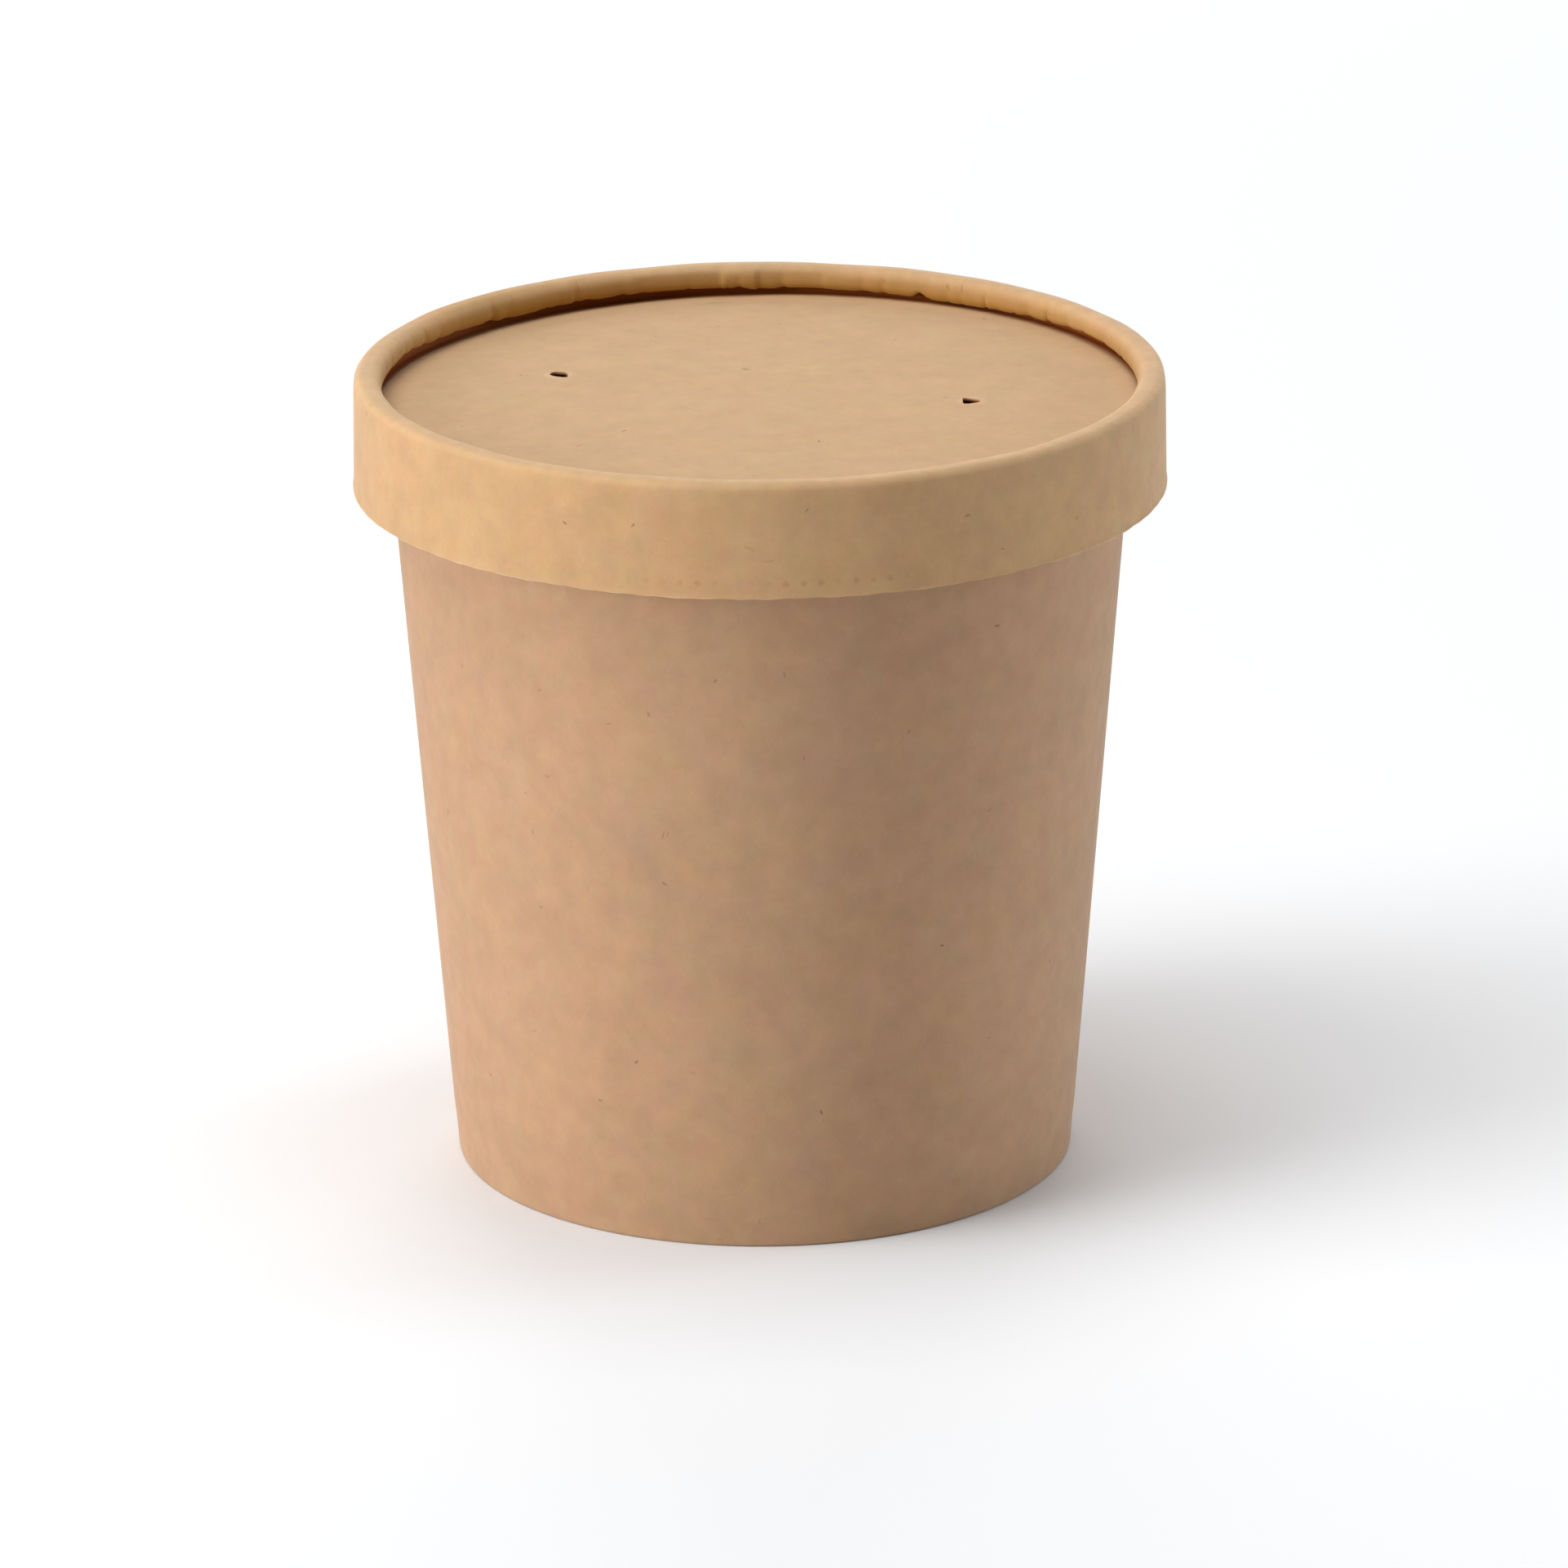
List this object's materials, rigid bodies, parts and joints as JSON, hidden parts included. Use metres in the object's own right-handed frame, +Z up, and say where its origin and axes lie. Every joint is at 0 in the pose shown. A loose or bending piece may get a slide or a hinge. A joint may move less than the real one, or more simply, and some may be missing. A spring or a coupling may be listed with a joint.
{
  "type": "paper tub with lid",
  "caption": "Shut round kraft paper tub for ice cream: tapered lapped wall, recessed base and a paper lid with a rolled rim and two steam vents.",
  "frame": {"origin": "centre of the foot ring, on the surface the tub stands on", "axes": "+Z up along the axis of the tub; +X to the right and -Y towards the viewer, with the laps of wall and lid at the back (+Y)"},
  "size_m": [0.1016, 0.102, 0.1021],
  "materials": {
    "cup_kraft": "uncoated brown kraft board, matt, slightly pink, with fine fibre flecks and soft clouding",
    "lid_kraft": "uncoated kraft board, matt, yellower and lighter than the tub, smoother on the panel"
  },
  "bodies": {
    "root": {"cup": "cup_kraft", "cup_base": "cup_kraft", "lid_disc": "lid_kraft", "lid_band": "lid_kraft"}
  },
  "joints": []
}
